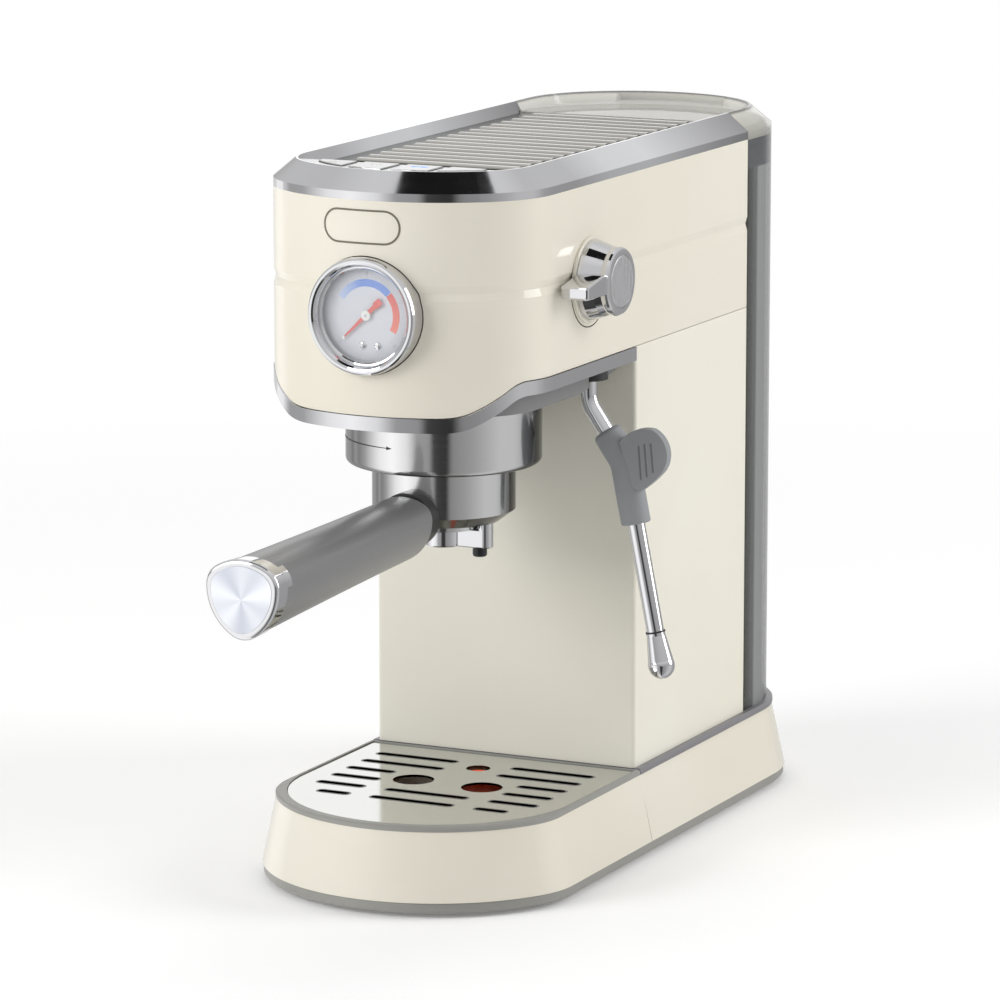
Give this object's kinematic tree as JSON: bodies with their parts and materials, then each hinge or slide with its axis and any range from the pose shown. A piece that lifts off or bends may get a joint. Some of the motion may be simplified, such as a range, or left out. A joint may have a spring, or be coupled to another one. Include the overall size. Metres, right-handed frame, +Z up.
{
  "type": "espresso machine",
  "caption": "Slim pump espresso machine with a round-nosed head, pressure gauge, portafilter, steam wand, lift-out tank and drip tray.",
  "frame": {"origin": "on the worktop, in the middle plane, under the front face of the column", "axes": "+X to the right as seen from the front, +Y to the back, +Z up"},
  "size_m": [0.1631, 0.4471, 0.312],
  "materials": {
    "cream": "gloss",
    "cream_metal": "gloss",
    "grey_plastic": "satin",
    "grey_trim": "satin",
    "dark_plastic": "satin",
    "black_rubber": "matt",
    "chrome": "polished",
    "satin_chrome": "satin",
    "steel": "brushed",
    "float_red": "gloss",
    "dial_white": "satin",
    "needle_red": "satin",
    "clear_glass": "clear",
    "smoky_plastic": "smoky",
    "aluminium": "cast",
    "brass": "plain",
    "board_green": "satin",
    "milky_hose": "satin"
  },
  "bodies": {
    "machine": {"base_pan": "grey_trim", "feet": "black_rubber", "base_housing": "cream", "base_deck": "grey_trim", "column_shell": "cream_metal", "rear_panel": "grey_plastic", "head_shell": "cream", "head_band": "chrome", "head_floor": "grey_plastic", "top_bezel": "chrome", "cup_tray": "steel", "button_panel": "satin_chrome", "button_board": "board_green", "gauge_case": "satin_chrome", "gauge_bezel": "chrome", "gauge_dial": "dial_white", "gauge_glass": "clear_glass", "group_collar": "steel", "group_head": "aluminium", "group_gasket": "black_rubber", "shower_screen": "steel", "screen_screw": "steel", "knob_ring": "chrome", "steam_valve": "brass", "wand_socket": "dark_plastic", "tank_socket": "dark_plastic", "boiler": "aluminium", "pump": "dark_plastic", "pump_mounts": "black_rubber", "pump_cradle": "grey_plastic", "control_board": "board_green", "suction_hose": "milky_hose", "pressure_hose": "milky_hose", "cord_gland": "dark_plastic"},
    "portafilter": {"filter_holder": "steel", "filter_basket": "steel", "spout": "chrome", "spout_tips": "black_rubber", "handle_neck": "dark_plastic", "handle_grip": "grey_plastic", "handle_cap": "chrome", "handle_disc": "satin_chrome"},
    "drip_tray": {"drip_tray": "cream", "tray_trim": "grey_trim"},
    "drip_grid": {"drip_grid": "steel"},
    "tray_float": {"tray_float": "float_red"},
    "tank": {"water_tank": "smoky_plastic"},
    "tank_lid": {"tank_lid": "smoky_plastic"},
    "tank_valve": {"tank_valve": "dark_plastic"},
    "steam_knob": {"steam_knob": "chrome", "knob_cap": "satin_chrome"},
    "wand_ball": {"wand_ball": "brass"},
    "steam_wand": {"steam_tube": "chrome", "wand_sleeve": "grey_plastic", "wand_tip": "chrome"},
    "power_button": {"power_button": "satin_chrome"},
    "one_cup_button": {"one_cup_button": "satin_chrome"},
    "two_cup_button": {"two_cup_button": "satin_chrome"},
    "steam_button": {"steam_button": "satin_chrome"},
    "gauge_needle": {"gauge_needle": "needle_red"}
  },
  "joints": [
    {"name": "portafilter_turn", "type": "hinge", "parent": "machine", "child": "portafilter", "pos_m": [0, -0.0603, 0.19], "axis": [0, 0, 1], "range_deg": [-50, 0]},
    {"name": "tray_slide", "type": "slide", "parent": "machine", "child": "drip_tray", "axis": [0, -1, 0], "range_m": [0, 0.12]},
    {"name": "grid_lift", "type": "slide", "parent": "drip_tray", "child": "drip_grid", "axis": [0, 0, 1], "range_m": [0, 0.015]},
    {"name": "float_rise", "type": "slide", "parent": "drip_tray", "child": "tray_float", "axis": [0, 0, 1], "range_m": [0, 0.005]},
    {"name": "tank_lift", "type": "slide", "parent": "machine", "child": "tank", "axis": [0, 0, 1], "range_m": [0, 0.12]},
    {"name": "lid_lift", "type": "slide", "parent": "tank", "child": "tank_lid", "axis": [0, 0, 1], "range_m": [0, 0.06]},
    {"name": "valve_close", "type": "slide", "parent": "tank", "child": "tank_valve", "axis": [0, 0, -1], "range_m": [0, 0.0028]},
    {"name": "knob_turn", "type": "hinge", "parent": "machine", "child": "steam_knob", "pos_m": [0.0625, -0.048, 0.2603], "axis": [1, 0, 0], "range_deg": [0, 90]},
    {"name": "wand_swivel", "type": "hinge", "parent": "machine", "child": "wand_ball", "pos_m": [0.051, -0.024, 0.217], "axis": [0, 0, 1], "range_deg": [-90, 20]},
    {"name": "wand_tilt", "type": "hinge", "parent": "wand_ball", "child": "steam_wand", "pos_m": [0.051, -0.024, 0.217], "axis": [0, 1, 0], "range_deg": [-6, 10]},
    {"name": "power_press", "type": "slide", "parent": "machine", "child": "power_button", "axis": [0, 0, -1], "range_m": [0, 0.001], "stiffness_N_per_m": 600, "springref_m": -0.0005},
    {"name": "one_cup_press", "type": "slide", "parent": "machine", "child": "one_cup_button", "axis": [0, 0, -1], "range_m": [0, 0.001], "stiffness_N_per_m": 600, "springref_m": -0.0005},
    {"name": "two_cup_press", "type": "slide", "parent": "machine", "child": "two_cup_button", "axis": [0, 0, -1], "range_m": [0, 0.001], "stiffness_N_per_m": 600, "springref_m": -0.0005},
    {"name": "steam_press", "type": "slide", "parent": "machine", "child": "steam_button", "axis": [0, 0, -1], "range_m": [0, 0.001], "stiffness_N_per_m": 600, "springref_m": -0.0005},
    {"name": "needle_turn", "type": "hinge", "parent": "machine", "child": "gauge_needle", "pos_m": [0, -0.1325, 0.2527], "axis": [0, 1, 0], "range_deg": [0, 240]}
  ],
  "couplings": [
    {"joint": "valve_close", "follows": "tank_lift", "ratio": 0.023333}
  ]
}
